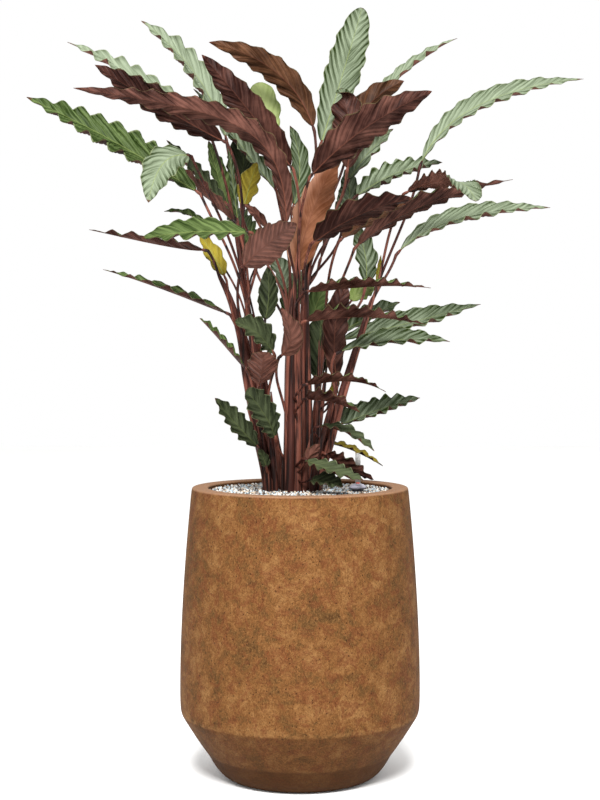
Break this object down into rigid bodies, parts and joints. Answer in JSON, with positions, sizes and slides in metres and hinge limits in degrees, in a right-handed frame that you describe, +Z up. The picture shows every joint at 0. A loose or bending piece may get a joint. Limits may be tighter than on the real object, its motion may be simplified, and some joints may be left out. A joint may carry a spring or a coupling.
{
  "type": "potted wavestar velvet calathea",
  "caption": "Bushy houseplant with long waved leaves, green above and purple beneath, on reddish stalks, in a tall mottled brown pot topped with gravel.",
  "frame": {"origin": "centre of the pot's flat underside", "axes": "+Z up, -Y towards the viewer of the picture, +X to the viewer's right"},
  "size_m": [0.8755, 0.5305, 1.1977],
  "materials": {
    "pot": "mottled matt lacquer",
    "soil": "rough",
    "gravel": "rough",
    "gauge": "satin",
    "label": "satin",
    "stem": "velvety",
    "leaf_green": "satin",
    "leaf_pale": "satin",
    "leaf_dark": "satin",
    "leaf_purple": "velvety",
    "leaf_copper": "velvety"
  },
  "bodies": {
    "root": {"pot": "pot", "soil": "soil", "gravel": "gravel", "water_gauge": "gauge", "plant_label": "label", "left_shoot": "stem", "left_inner_shoot": "stem", "middle_shoot": "stem", "middle_back_shoot": "stem", "right_shoot": "stem", "right_inner_shoot": "stem", "back_shoot": "stem", "leaf_front_arch": "leaf_purple", "leaf_left_long_green": "leaf_green", "leaf_left_high_pale": "leaf_pale", "leaf_left_under_purple": "leaf_purple", "leaf_top_left_pale": "leaf_pale", "leaf_dark_high_left": "leaf_purple", "leaf_behind_arch_green": "leaf_pale", "leaf_back_left_upright": "leaf_green", "leaf_left_facing_heart": "leaf_pale", "leaf_dark_centre_left": "leaf_dark", "leaf_front_left_green": "leaf_green", "leaf_left_low_purple": "leaf_purple", "leaf_front_purple_heart": "leaf_purple", "leaf_left_scalloped": "leaf_green", "leaf_low_purple_heart": "leaf_purple", "leaf_base_dark_green": "leaf_dark", "leaf_base_left_green": "leaf_dark", "leaf_base_right_green": "leaf_dark", "leaf_base_right_purple": "leaf_purple", "leaf_low_right_green": "leaf_green", "leaf_low_right_grey": "leaf_dark", "leaf_low_scallop_a": "leaf_purple", "leaf_right_mid_green": "leaf_green", "leaf_right_long_grey": "leaf_pale", "leaf_right_grey_back": "leaf_pale", "leaf_mid_scallop": "leaf_purple", "leaf_dark_upright": "leaf_purple", "leaf_mid_edge_leaf": "leaf_purple", "leaf_right_upright_green": "leaf_green", "leaf_right_low_long": "leaf_pale", "leaf_right_high_long": "leaf_pale", "leaf_right_top_pale": "leaf_pale", "leaf_top_broad_green": "leaf_pale", "leaf_right_front_purple": "leaf_purple", "leaf_behind_purple": "leaf_purple", "leaf_furled_orange": "leaf_copper", "leaf_right_back_green": "leaf_green", "leaf_back_broad_grey": "leaf_pale", "leaf_right_wavy_grey": "leaf_pale", "leaf_twisted_right": "leaf_purple", "leaf_right_mid_purple": "leaf_purple", "leaf_brown_under": "leaf_copper", "leaf_right_long_purple": "leaf_purple", "leaf_orange_top_left": "leaf_copper", "leaf_centre_light_green": "leaf_pale", "leaf_back_low_green": "leaf_green", "leaf_back_left_green": "leaf_green", "leaf_back_right_purple": "leaf_purple"}
  },
  "joints": []
}
